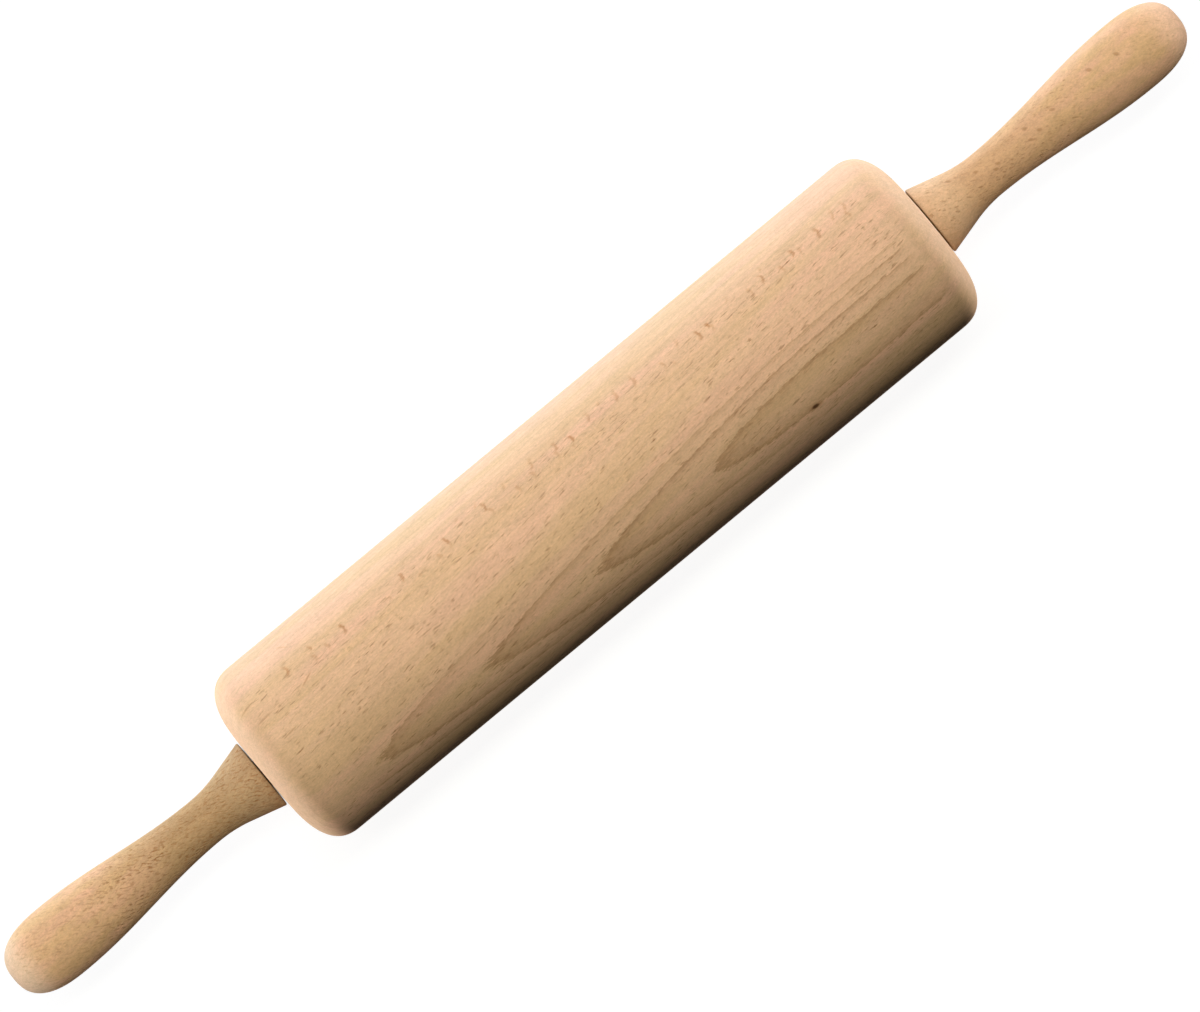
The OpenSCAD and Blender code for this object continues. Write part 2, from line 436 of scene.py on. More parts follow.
@dataclass(frozen=True)
class Beech(Finish):
    """Sanded bare beech: rings round a pith beside the piece, with short rays between them.

    Lengths are in millimetres, angles in degrees, and depths are shares from 0 to 1. In the
    methods, a grain is the place along the grain, across it and towards the pith, and a sheet is
    the place along the piece and round its unrolled skin from the top.
    """

    relief: ClassVar[float] = 0.2 * MM
    specular: ClassVar[float] = 0.0
    # the growth rings, their unevenness, and the bend that draws them out into arches
    turn: Turn = (34, 0, 4.9)
    pith: float = 80
    ring_width: float = 2.1
    ring_start: float = 0.83
    ring_depth: float = 1.0
    ring_spread: float = 0.22
    ring_flat: Span = (0.78, 0.97)
    ring_shape: float = 2.6
    ring_body: float = 0.7
    ring_dark: Span = (0.8, 0.97)
    ring_close: Span = (1.0, 0.93)
    bend_from: float = 40
    bend_to: float = 76
    bend: float = 0.00066
    sway: float = 0.5
    sway_cell: Cell = (60, 9)
    fray: float = 0.9
    fray_cell: Cell = (3, 0.6)
    # the skin and its tones
    skin_radius: float = 30
    wood: Colour = linear(224, 182, 145)
    rosy: Colour = linear(229, 183, 149)
    olive: Colour = linear(220, 180, 139)
    late: Colour = linear(180, 138, 100)
    band_size: Cell = (90, 7)
    band_stops: tuple[float, ...] = (0.36, 0.5, 0.62)
    # the dark dashes where the rays end
    dash: Colour = linear(160, 116, 80)
    dash_depth: float = 0.6
    dash_from: float = 0.63
    dash_edge: float = 0.14
    dash_outside: float = 0.15
    dash_sizes: tuple[Cell, ...] = ((4.4, 0.68), (2.2, 0.5))
    dash_weights: tuple[float, ...] = (1.0, 0.6)
    dash_leans: tuple[float, ...] = (-6, -6)
    dash_zone: Span = (-48, -36)
    dash_ends: Span = (119, 115)
    dash_relief: float = 0.25
    dash_smooth: float = 0.05
    dash_gathered: float = 0.6
    dash_group: Cell = (20, 5)
    dash_crowd: Span = (0.35, 0.65)
    # the silk of fine streaks, specks and clouds
    streak: Cell = (1.8, 0.55)
    speck: Cell = (0.6, 0.4)
    cloud: Cell = (12, 2.5)
    silk_weights: tuple[float, ...] = (0.38, 0.34, 0.28)
    silk_depth: float = 0.5
    silk_relief: float = 0.35
    silk_rough: float = 0.12
    roughness: float = 0.68
    spots: tuple[Spot, ...] = ()

    def paint(self, graph: Graph) -> None:
        """Mixes bands, rings, rays and silk into one sanded surface.

        Args:
            graph: the material's empty graph.
        """
        place = graph.place()
        grain = place.turned(self.turn)
        along, depth, height = place.parts()
        sheet = along.joined((-1 * depth).turn_from(height) * self.skin_radius)
        dashes = self.dashes(sheet)
        silk = self.silk(grain)
        colour = (self.rings(grain) * self.ring_depth).between(self.bands(grain), self.late)
        colour = (dashes * self.dash_depth).between(colour, self.dash)
        colour = self.marks(place, sheet, colour)
        for spot in self.spots:
            colour = spot.lay(sheet, colour)
        colour = colour.dappled(silk, self.silk_depth)
        roughness = self.roughness + self.silk_rough * silk - self.dash_smooth * dashes
        relief = 0.5 + self.silk_relief * silk - self.dash_relief * dashes
        graph.surface(colour, roughness, relief, self)

    def round_skin(self, angle: float) -> float:
        """Length round the skin from its top to an angle in degrees."""
        return math.radians(angle) * self.skin_radius

    def rings(self, grain: Sock) -> Sock:
        """Works out the growth rings.

        Args:
            grain: place in the grain.

        Returns:
            How dark the rings are, most where they lie flat to the surface.
        """
        along, across, out = grain.parts()
        bend = (along - self.bend_from).above_zero() ** 2 - (along - self.bend_to).above_zero() ** 2
        depth = (self.pith - out).hypotenuse(across) + self.bend * bend
        depth += (grain.in_cells(self.sway_cell).noise() - 0.5) * self.sway
        depth += (grain.in_cells(self.fray_cell).noise(detail=3, roughness=0.65) - 0.5) * self.fray
        year = (depth / self.ring_width + self.ring_start).fraction()
        flat = (out ** 2 / (out ** 2 + across ** 2)).rise(*self.ring_flat)
        late = self.ring_body * year ** self.ring_shape + (1 - self.ring_body) * year.rise(*self.ring_dark)
        late *= year.rise(*self.ring_close)
        return late * (self.ring_spread + (1 - self.ring_spread) * flat)

    def dashes(self, sheet: Sock) -> Sock:
        """Scatters the ends of the rays, short dark dashes along the grain.

        Args:
            sheet: place on the sheet.

        Returns:
            How dark each place is.
        """
        dark = 0
        for size, lean, weight in zip(self.dash_sizes, self.dash_leans, self.dash_weights):
            swell = sheet.turned((0, 0, lean)).in_cells(size).noise(detail=1.5, roughness=0.4, flat=True)
            dark += swell.rise(self.dash_from, self.dash_from + self.dash_edge) * weight
        gathered = sheet.in_cells(self.dash_group).noise(flat=True).rise(*self.dash_crowd)
        along, around, _ = sheet.parts()
        inside = around.rise(*map(self.round_skin, self.dash_zone))
        zone = self.dash_outside + (1 - self.dash_outside) * inside
        zone *= abs(along).rise(*self.dash_ends)
        return dark * (1 - self.dash_gathered + self.dash_gathered * gathered) * zone

    def silk(self, grain: Sock) -> Sock:
        """Mixes fine streaks, finer specks and soft clouds.

        Args:
            grain: place in the grain.

        Returns:
            The mixture, about one half.
        """
        streaks = grain.in_cells(self.streak).noise(detail=3, roughness=0.65)
        specks = grain.in_cells(self.speck).noise()
        clouds = grain.in_cells(self.cloud).noise(detail=3)
        streak_weight, speck_weight, cloud_weight = self.silk_weights
        return streak_weight * streaks + speck_weight * specks + cloud_weight * clouds

    def bands(self, grain: Sock) -> Sock:
        """Colour of the wood between its rings, in rosy and olive bands along the grain."""
        band = grain.in_cells(self.band_size).noise(detail=3)
        return band.ramped(self.band_stops, (self.olive, self.wood, self.rosy))

    def marks(self, place: Sock, sheet: Sock, colour: Sock) -> Sock:
        """Adds what only this kind of piece shows to the colour so far."""
        return colour


@dataclass(frozen=True)
class RollerBeech(Beech):
    """The roller's beech, with its knot, its hooked marks, its paler rims and painted shade on its end
    faces.
    """

    # the paler rims, with the fine hatching of end grain
    rim: Colour = linear(226, 190, 158)
    rim_depth: float = 0.7
    rim_hatch: float = 0.2
    rim_reach: Span = (118, 123)
    hatch: Cell = (1.1, 5)
    hatch_contrast: Span = (0.38, 0.66)
    # painted shade: dark rings on the end faces, in the gaps under the handles' feet
    gap_shade: Colour = linear(62, 36, 16)
    gap_shade_depth: float = 0.86
    gap_shade_hatch: float = 0.1
    gap_shade_face: Span = (124.6, 124.8)
    gap_shade_edge: Span = (12.6, 11.9)
    # the stretches without rings
    plain: tuple[tuple[Span, Span], ...] = (((-124, -118), (-100, -108)), ((110, 116), (124, 119)))
    # the row of hooked marks
    hook: Colour = linear(186, 128, 84)
    hook_depth: float = 0.75
    hook_least: float = 0.4
    hooks_at: float = -37
    hooks_spread: Span = (10, 0.5)
    hook_cell: Cell = (6.5, 4.5)
    hook_squeeze: Cell = (1.05, 0.68)
    hook_radius: float = 1.1
    hook_line: Span = (0.75, 0.15)
    hook_side: Span = (-0.4, 0.7)
    hook_pick: Span = (0.28, 0.33)
    hook_ends: Span = (112, 108)
    smudge: float = 1.2
    smudge_cell: Cell = (1.4, 1.1)
    # the knot with its halo, and single fine marks near the left rim
    spots: tuple[Spot, ...] = (
        Spot(65.5, 22.1, 3.4, 1.5, linear(176, 122, 84), 0.5, 8),
        Spot(65.3, 22.1, 1.7, 0.95, linear(84, 56, 34), 0.95, 8),
        Spot(-97.9, -13.3, 3.4, 0.42, linear(176, 120, 80), 0.5, -23),
        Spot(-97.7, -28.7, 3.2, 0.35, linear(196, 140, 96), 0.35, 50),
        Spot(-117, -18.6, 3.6, 0.5, linear(170, 120, 80), 0.4, -6),
        Spot(-114.5, -12.2, 4.2, 0.45, linear(170, 120, 80), 0.4, -4),
        Spot(-110.8, -4.1, 3.2, 0.4, linear(170, 120, 80), 0.35, -7),
    )

    def marks(self, place: Sock, sheet: Sock, colour: Sock) -> Sock:
        """Adds the hooked marks, the rims and the painted shade on the end faces in the gaps under the
        handles' feet.

        Args:
            place: place on the piece, in millimetres.
            sheet: place on the sheet.
            colour: the colour so far.

        Returns:
            The colour with the marks.
        """
        colour = (self.hooks(sheet) * self.hook_depth).between(colour, self.hook)
        along, depth, height = place.parts()
        radius = depth.hypotenuse(height)
        _, around, _ = sheet.parts()
        hatched = around.joined(radius, along).in_cells(self.hatch).noise(detail=3, roughness=0.6)
        streaks = hatched.rise(*self.hatch_contrast)
        rim = abs(along).rise(*self.rim_reach)
        colour = (rim * (self.rim_depth + self.rim_hatch * streaks)).between(colour, self.rim)
        # painted shade: the end face darkens where it lies in the gap under a handle's foot
        gap_shade = abs(along).rise(*self.gap_shade_face) * radius.rise(*self.gap_shade_edge)
        return (gap_shade * (self.gap_shade_depth + self.gap_shade_hatch * streaks)).between(colour, self.gap_shade)

    def rings(self, grain: Sock) -> Sock:
        """Leaves the rings out where the wood next to the rims is plain.

        Args:
            grain: place in the grain.

        Returns:
            How dark the rings are.
        """
        late = super().rings(grain)
        along, _, _ = grain.parts()
        for begins, ends in self.plain:
            late *= 1 - along.rise(*begins) * along.rise(*ends)
        return late

    def hooks(self, sheet: Sock) -> Sock:
        """Scatters small hooked marks along one line of the roller.

        Args:
            sheet: place on the sheet.

        Returns:
            How dark each place is.
        """
        length, width = self.hook_cell
        chance, point = sheet.in_cells(self.hook_cell).scattered()
        middle = point.in_cells((1 / length, 1 / width))
        ahead, aside, _ = sheet.vector_math("SUBTRACT", middle).parts()
        smudge = sheet.in_cells(self.smudge_cell).noise(flat=True) - 0.5
        long, wide = self.hook_squeeze
        reach = (ahead * long).hypotenuse(aside * wide) + smudge * self.smudge
        pick, strength, _ = chance.parts()
        arc = abs(reach - self.hook_radius).rise(*self.hook_line) * ahead.rise(*self.hook_side)
        along, around, _ = sheet.parts()
        spread, core = self.hooks_spread
        line = abs(around - self.round_skin(self.hooks_at)).rise(self.round_skin(spread), core)
        line *= abs(along).rise(*self.hook_ends)
        shown = pick.rise(*self.hook_pick) * (self.hook_least + (1 - self.hook_least) * strength)
        return arc * line * shown


@dataclass(frozen=True)
class HandleBeech(Beech):
    """A handle's beech, browner towards its foot and more flecked."""

    turn: Turn = (60, 0, 1.5)
    pith: float = 55
    ring_width: float = 2.6
    ring_depth: float = 0.25
    bend: float = 0.0
    skin_radius: float = 10
    wood: Colour = linear(219, 174, 132)
    rosy: Colour = linear(222, 174, 136)
    olive: Colour = linear(214, 172, 126)
    late: Colour = linear(176, 134, 92)
    band_size: Cell = (14, 4)
    dash: Colour = linear(158, 108, 66)
    dash_sizes: tuple[Cell, ...] = ((2.0, 0.6), (1.3, 0.45))
    dash_leans: tuple[float, ...] = (30, -8)
    dash_zone: Span = (-85, -65)
    dash_ends: Span = (218.4, 213)
    dash_relief: float = 0.5
    dash_fades: Span = (196, 172)
    dash_faint: float = 0.4
    streak: Cell = (1.3, 0.7)
    cloud: Cell = (4.5, 2.5)
    foot: Colour = linear(202, 157, 115)
    foot_depth: float = 0.8
    foot_reach: Span = (186, 150)
    flare: Colour = linear(224, 186, 148)
    flare_depth: float = 0.75
    flare_reach: Span = (144, 129)
    tip: Colour = linear(226, 182, 146)
    tip_reach: Span = (207, 216)

    def bands(self, grain: Sock) -> Sock:
        """Changes the wood's colour towards the foot and at the tip.

        Args:
            grain: place in the grain.

        Returns:
            The colour of the wood between its rings.
        """
        along, _, _ = grain.parts()
        out = abs(along)
        colour = (out.rise(*self.foot_reach) * self.foot_depth).between(super().bands(grain), self.foot)
        colour = (out.rise(*self.flare_reach) * self.flare_depth).between(colour, self.flare)
        return out.rise(*self.tip_reach).between(colour, self.tip)

    def dashes(self, sheet: Sock) -> Sock:
        """Makes the dashes fainter on the grip than near the waist.

        Args:
            sheet: place on the sheet.

        Returns:
            How dark each place is.
        """
        along, _, _ = sheet.parts()
        strength = self.dash_faint + (1 - self.dash_faint) * abs(along).rise(*self.dash_fades)
        return super().dashes(sheet) * strength


@dataclass(frozen=True)
class LeftHandleBeech(HandleBeech):
    """The left handle's beech: full of short dark flecks, and darkest at its foot."""

    wood: Colour = linear(217, 173, 131)
    dash_from: float = 0.55
    dash_gathered: float = 0.4
    foot: Colour = linear(180, 146, 105)
    foot_depth: float = 0.9
    flare: Colour = linear(190, 160, 123)
    flare_depth: float = 0.6
    tip: Colour = linear(221, 187, 153)


@dataclass(frozen=True)
class RightHandleBeech(HandleBeech):
    """The right handle's beech: mottled, with a row of dark marks along it."""

    dash_from: float = 0.61
    dash_depth: float = 0.42
    foot: Colour = linear(204, 161, 120)
    # each mark's place along the handle and round it
    row: tuple[tuple[float, float], ...] = (
        (136.6, -7), (144.5, -3.5), (149.7, 0.9), (151, -0.6), (163.4, -4), (162.8, 0.6),
        (166.5, -0.2), (173, -2.6), (188.4, -4.2), (197.5, -2.6),
    )
    spots: tuple[Spot, ...] = tuple(Spot(*spot, 1.3, 0.75, linear(156, 110, 68), 0.5, 40) for spot in row)


@dataclass(frozen=True)
class Worn(Finish):
    """An even stuff with worn patches and a fine grain; lengths are in millimetres."""

    colour: Colour
    patch: Colour
    roughness: float
    patch_cell: Cell
    patch_detail: float
    patch_span: Span
    patch_depth: float
    patch_rough: float
    fine_cell: Cell
    fine_rough: float
    fine_depth: float = 0.1

    def paint(self, graph: Graph) -> None:
        """Spreads the worn patches and the fine grain.

        Args:
            graph: the material's empty graph.
        """
        place = graph.place()
        patches = place.in_cells(self.patch_cell).noise(self.patch_detail).rise(*self.patch_span)
        fine = self.fine(place)
        colour = (patches * self.patch_depth).between(self.colour, self.patch)
        colour = colour.dappled(fine, self.fine_depth)
        roughness = self.roughness + self.patch_rough * patches + self.fine_rough * fine
        graph.surface(colour, roughness, fine, self)

    def fine(self, place: Sock) -> Sock:
        """Height of the fine grain at a place, about one half."""
        return place.in_cells(self.fine_cell).noise()


@dataclass(frozen=True)
class Steel(Worn):
    """Steel with faint stains and fine lines, either along the pin or round it."""

    colour: Colour = (0.66, 0.67, 0.69)
    patch: Colour = (0.50, 0.48, 0.45)
    roughness: float = 0.32
    patch_cell: Cell = (3, 3)
    patch_detail: float = 3
    patch_span: Span = (0.45, 0.75)
    patch_depth: float = 0.35
    patch_rough: float = 0.1
    fine_cell: Cell = (0.08, 0.08)
    fine_rough: float = 0.16
    lines: Lines = Lines.ROUND
    drawn_cell: Cell = (6, 0.07)
    relief: ClassVar[float] = 0.004 * MM
    metallic: ClassVar[float] = 1.0

    def fine(self, place: Sock) -> Sock:
        """Draws the noise's swells out into lines.

        Args:
            place: place on the piece, in millimetres.

        Returns:
            Height of the lines, about one half.
        """
        if self.lines is Lines.ALONG:
            cells = place.in_cells(self.drawn_cell)
        else:
            along, depth, height = place.parts()
            cells = along.joined(depth.hypotenuse(height)).in_cells(self.fine_cell)
        return cells.noise(detail=3, roughness=0.7)


@dataclass(frozen=True)
class Brass(Worn):
    """Pressed brass, dulled in patches."""

    colour: Colour = (0.72, 0.55, 0.27)
    patch: Colour = (0.42, 0.30, 0.14)
    roughness: float = 0.28
    patch_cell: Cell = (1.6, 1.6)
    patch_detail: float = 4
    patch_span: Span = (0.42, 0.7)
    patch_depth: float = 0.7
    patch_rough: float = 0.25
    fine_cell: Cell = (0.12, 0.12)
    fine_rough: float = 0.08
    metallic: ClassVar[float] = 1.0


@dataclass(frozen=True)
class Moulded(Worn):
    """Rubber or plastic with a mould's fine grain and a little dust."""

    colour: Colour = (0.04, 0.04, 0.045)
    patch: Colour = (0.16, 0.15, 0.14)
    roughness: float = 0.6
    patch_cell: Cell = (2, 2)
    patch_detail: float = 4
    patch_span: Span = (0.5, 0.8)
    patch_depth: float = 0.5
    patch_rough: float = 0.15
    fine_cell: Cell = (0.15, 0.15)
    fine_rough: float = 0.1
    relief: ClassVar[float] = 0.01 * MM
    specular: ClassVar[float] = 0.4


def shares(steps: int) -> list[float]:
    """Even shares from 0 to 1, one more than the steps."""
    return [step / steps for step in range(steps + 1)]


def rounded_quarter(reach: float, drop: float, squareness: float, steps: int) -> list[Place]:
    """Points of a superellipse's quarter, from its top to its side.

    Args:
        reach: how far it reaches along the axis.
        drop: how far it falls towards the axis.
        squareness: its exponent, where 2 is an ellipse.
        steps: number of straight steps.

    Returns:
        Each point along and above the quarter's centre.
    """
    power = 2 / squareness
    angles = [math.pi / 2 * share for share in shares(steps)[:-1]]
    points = [(reach * math.sin(angle) ** power, drop * math.cos(angle) ** power) for angle in angles]
    return [*points, (reach, 0.0)]


class Lathe:
    """Turns one piece about the pin's axis, ring by ring, in edit mode."""

    def __init__(self, name: str, segments: int, start: Place, closed_start: bool) -> None:
        """Adds the first ring.

        Args:
            name: the piece's name.
            segments: number of faces round the piece.
            start: the first ring's place along the axis and its radius.
            closed_start: whether the first ring is a disc.
        """
        bpy.ops.object.select_all(action="DESELECT")
        along, self.radius = start
        bpy.ops.mesh.primitive_circle_add(
            vertices=segments,
            radius=self.radius,
            fill_type="TRIFAN" if closed_start else "NOTHING",
            location=(along, 0, 0),
            rotation=(0, math.pi / 2, 0),
        )
        self.piece = bpy.context.object
        self.piece.name = self.piece.data.name = name
        bpy.ops.object.transform_apply(location=True, rotation=True, scale=True)
        self.along = along
        bpy.ops.object.mode_set(mode="EDIT")
        bpy.ops.mesh.select_mode(type="EDGE")
        bpy.ops.mesh.select_all(action="DESELECT")
        bpy.ops.mesh.select_non_manifold()

    def follow(self, outline: list[Place]) -> None:
        """Extrudes a ring to each point of an outline.

        Args:
            outline: places along the axis and radii.
        """
        for along, radius in outline:
            bpy.ops.mesh.extrude_edges_move(TRANSFORM_OT_translate={"value": (along - self.along, 0, 0)})
            growth = radius / self.radius
            bpy.ops.transform.resize(value=(1, growth, growth), center_override=(along, 0, 0))
            self.along, self.radius = along, radius

    def close_tip(self, along: float) -> None:
        """Draws the last ring together on the axis.

        Args:
            along: the tip's place along the axis.
        """
        bpy.ops.mesh.extrude_edges_move(TRANSFORM_OT_translate={"value": (along - self.along, 0, 0)})
        bpy.ops.mesh.merge(type="CENTER")

    def finish(self) -> bpy.types.Object:
        """Welds the piece, turns its faces out and smooths it.

        Returns:
            The finished piece.
        """
        bpy.ops.mesh.select_all(action="SELECT")
        bpy.ops.mesh.remove_doubles(threshold=WELD)
        bpy.ops.mesh.normals_make_consistent(inside=False)
        bpy.ops.object.mode_set(mode="OBJECT")
        bpy.ops.object.shade_smooth_by_angle(angle=SMOOTH_BELOW)
        return self.piece


@dataclass
class Roller:
    """The revolving barrel, with rounded rims and a seat for a bearing in each end."""

    rim_reach: float = 12 * MM
    rim_drop: float = 20 * MM
    rim_squareness: float = 2.6
    rim_steps: int = 28
    barrel_steps: int = 14
    seat_radius: float = 9.49 * MM
    relief_radius: float = 7.8 * MM
    relief_depth: float = 2.5 * MM
    bore_radius: float = 4 * MM
    segments: int = 160
    half_length: float = field(init=False)
    radius: float = field(init=False)
    seat_bottom: float = field(init=False)
    finish: Finish = RollerBeech("roller_beech")

    def __post_init__(self) -> None:
        """Reads the roller's length and thickness from the frame."""
        _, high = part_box("roller")
        self.half_length = high.x
        self.radius = high.z
        self.seat_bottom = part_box("outer_race_right")[0].x

    def half_outline(self) -> list[Place]:
        """Draws the right-hand half, from the bore's middle out to the barrel's middle.

        Returns:
            Places along the axis and radii.
        """
        relief = self.seat_bottom - self.relief_depth
        inside = [
            (0.0, self.bore_radius),
            (relief, self.bore_radius),
            (relief, self.relief_radius),
            (self.seat_bottom, self.relief_radius),
            (self.seat_bottom, self.seat_radius),
            (self.half_length, self.seat_radius),
        ]
        quarter = rounded_quarter(self.rim_reach, self.rim_drop, self.rim_squareness, self.rim_steps)
        rim_foot = self.half_length - self.rim_reach
        rim_floor = self.radius - self.rim_drop
        rim = [(rim_foot + along, rim_floor + above) for along, above in reversed(quarter)]
        barrel = [(rim_foot * (1 - share), self.radius) for share in shares(self.barrel_steps)[1:]]
        return inside + rim + barrel

    def build(self) -> bpy.types.Object:
        """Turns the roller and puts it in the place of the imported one.

        Returns:
            The roller.
        """
        right = self.half_outline()
        left = [(-along, radius) for along, radius in reversed(right[:-1])]
        lathe = Lathe("roller_wood", self.segments, right[0], closed_start=False)
        lathe.follow(right[1:] + left)
        piece = lathe.finish()
        self.finish.lay_on(piece)
        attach(piece, "roller")
        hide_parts("roller")
        return piece


@dataclass
class Handle:
    """One turned handle: a flared foot, a waist, a swelling grip and a rounded tip."""

    side: Side
    finish: Finish
    neck_radius: float = 7.2 * MM
    belly_radius: float = 11.4 * MM
    foot_radius: float = 11.5 * MM
    foot_round: float = 0.5 * MM
    foot_lean: float = 0.86
    foot_steps: int = 4
    neck_at: float = 21.5 * MM
    belly_at: float = 75 * MM
    cove_radius: float = 40 * MM
    tip_squareness: float = 2.6
    bore_radius: float = 3.05 * MM
    bore_depth: float = 53.5 * MM
    segments: int = 128
    cove_steps: int = 16
    swell_steps: int = 40
    tip_steps: int = 28
    foot: float = field(init=False)
    length: float = field(init=False)

    def __post_init__(self) -> None:
        """Reads where the handle starts and ends from the frame."""
        low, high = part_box(f"handle_{self.side.word}")
        near, far = sorted((abs(low.x), abs(high.x)))
        self.foot, self.length = near, far - near

    def flare(self) -> float:
        """Slope of the straight flare that just meets the hollow's circle, in radians."""
        rise = self.neck_radius + self.cove_radius - self.foot_radius
        return math.asin(self.cove_radius / math.hypot(self.neck_at, rise)) - math.atan2(rise, self.neck_at)

    def outline(self) -> list[Place]:
        """Draws the outside, from the bore's mouth to short of the tip.

        Returns:
            Distances from the foot along the axis, and radii.
        """
        outline = []
        face = self.foot_radius - self.foot_round
        for share in shares(self.foot_steps):
            turn = math.pi / 2 * share
            bulge = self.foot_round * self.foot_lean * math.sin(turn)
            outline.append((self.foot_round * (1 - math.cos(turn)), face + bulge))
        slope = self.flare()
        for share in shares(self.cove_steps):
            turn = slope * (1 - share)
            hollow = self.cove_radius * (1 - math.cos(turn))
            outline.append((self.neck_at - self.cove_radius * math.sin(turn), self.neck_radius + hollow))
        for share in shares(self.swell_steps)[1:-1]:
            along = self.neck_at + (self.belly_at - self.neck_at) * share
            swell = (self.belly_radius - self.neck_radius) * (1 - math.cos(math.pi * share)) / 2
            outline.append((along, self.neck_radius + swell))
        reach = self.length - self.belly_at
        tip = rounded_quarter(reach, self.belly_radius, self.tip_squareness, self.tip_steps)
        return outline + [(self.belly_at + along, above) for along, above in tip[:-1]]

    def build(self) -> bpy.types.Object:
        """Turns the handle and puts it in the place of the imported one.

        Returns:
            The handle.
        """
        node = f"handle_{self.side.word}"

        def placed(points: list[Place]) -> list[Place]:
            """Moves distances from the foot to their place along the pin's axis."""
            return [(self.side.way * (self.foot + along), radius) for along, radius in points]

        bore = placed([(self.bore_depth, self.bore_radius), (0.0, self.bore_radius)])
        lathe = Lathe(f"{node}_wood", self.segments, bore[0], closed_start=True)
        lathe.follow(bore[1:] + placed(self.outline()))
        lathe.close_tip(self.side.way * (self.foot + self.length))
        piece = lathe.finish()
        self.finish.lay_on(piece)
        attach(piece, "grips")
        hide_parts(node)
        return piece


@dataclass
class Bearing:
    """One ball bearing with its washer and snap ring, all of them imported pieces."""

    side: Side
    finishes: dict[str, Finish]

    def dress(self) -> int:
        """Gives each piece its finish.

        Returns:
            The number of pieces.
        """
        for name, finish in self.finishes.items():
            finish.lay_on(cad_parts[f"{name}_{self.side.word}"])
        return len(self.finishes)


@dataclass(frozen=True)
class Softbox:
    """A flat lamp that faces the pin; its breadth is measured round the pin, its length along it."""

    name: str
    round_from_top: float
    along: float
    breadth: float
    length: float
    power: float
    colour: Colour = WHITE
    distance: float = 1.8

    def build(self) -> bpy.types.Object:
        """Hangs the lamp.

        Returns:
            The lamp.
        """
        lamp = bpy.data.lights.new(self.name, "AREA")
        lamp.shape = "RECTANGLE"
        lamp.size, lamp.size_y = self.breadth, self.length
        lamp.energy = self.power
        lamp.color = self.colour
        hung = bpy.data.objects.new(self.name, lamp)
        angle = math.radians(self.round_from_top)
        way = Vector((self.along, -math.sin(angle), math.cos(angle))).normalized()
        hung.location = way * self.distance
        hung.rotation_euler = way.to_track_quat("Z", "X").to_euler()
        hung.visible_camera = False
        bpy.context.scene.collection.objects.link(hung)
        return hung

    def build_for(self, lit: list[bpy.types.Object], shading: list[bpy.types.Object]) -> bpy.types.Object:
        """Hangs the lamp so that it lights certain pieces only.

        Args:
            lit: the pieces that it lights.
            shading: the pieces that keep its light off.

        Returns:
            The lamp.
        """
        hung = self.build()
        linking = hung.light_linking
        linking.receiver_collection = self.collected("lights", lit)
        linking.blocker_collection = self.collected("stopped_by", shading)
        return hung

    def collected(self, use: str, pieces: list[bpy.types.Object]) -> bpy.types.Collection:
        """Puts pieces in a collection of their own.

        Args:
            use: what the lamp does to the pieces, for the collection's name.
            pieces: the pieces.

        Returns:
            The collection.
        """
        made = bpy.data.collections.new(f"{self.name}_{use}")
        for piece in pieces:
            made.objects.link(piece)
        return made


@dataclass
class Camera:
    """The camera, almost straight above the pin and turned so that the pin lies corner to corner.

    Distances are in metres, the sensor's width in millimetres and the pin's middle in pixels.
    """

    picture_width: float = 1200
    picture_height: float = 1012
    pixels_per_mm: float = 3.455
    turn: float = 39.61
    axis_pixel: Place = (596.0, 497.5)
    stands_over: Place = (-75 * MM, 0.0)
    distance: float = 5.5
    sensor: float = 36
    sees_beyond: float = 4

    def aim(self) -> Vector:
        """Works out what the middle of the picture shows.

        Returns:
            The point, on the level of the pin's axis.
        """
        right, up = self.directions()
        off_right = (self.picture_width / 2 - self.axis_pixel[0]) / self.pixels_per_mm * MM
        off_up = (self.axis_pixel[1] - self.picture_height / 2) / self.pixels_per_mm * MM
        return right * off_right + up * off_up

    def directions(self) -> tuple[Vector, Vector]:
        """The picture's right and up, as directions on the level floor."""
        turn = math.radians(self.turn)
        return Vector((math.cos(turn), -math.sin(turn), 0)), Vector((math.sin(turn), math.cos(turn), 0))

    def build(self) -> bpy.types.Object:
        """Sets the camera up.

        Returns:
            The camera.
        """
        lens = bpy.data.cameras.new("camera")
        seen_width = self.picture_width / self.pixels_per_mm * MM
        lens.sensor_width = self.sensor
        lens.lens = self.sensor * self.distance / seen_width
        lens.clip_end = self.sees_beyond * self.distance
        camera = bpy.data.objects.new("camera", lens)
        spot = Vector((*self.stands_over, self.distance))
        back = (spot - self.aim()).normalized()
        right = self.directions()[1].cross(back).normalized()
        basis = Matrix((right, back.cross(right), back)).transposed()
        camera.matrix_world = Matrix.Translation(spot) @ basis.to_4x4()
        bpy.context.scene.collection.objects.link(camera)
        bpy.context.scene.camera = camera
        return camera


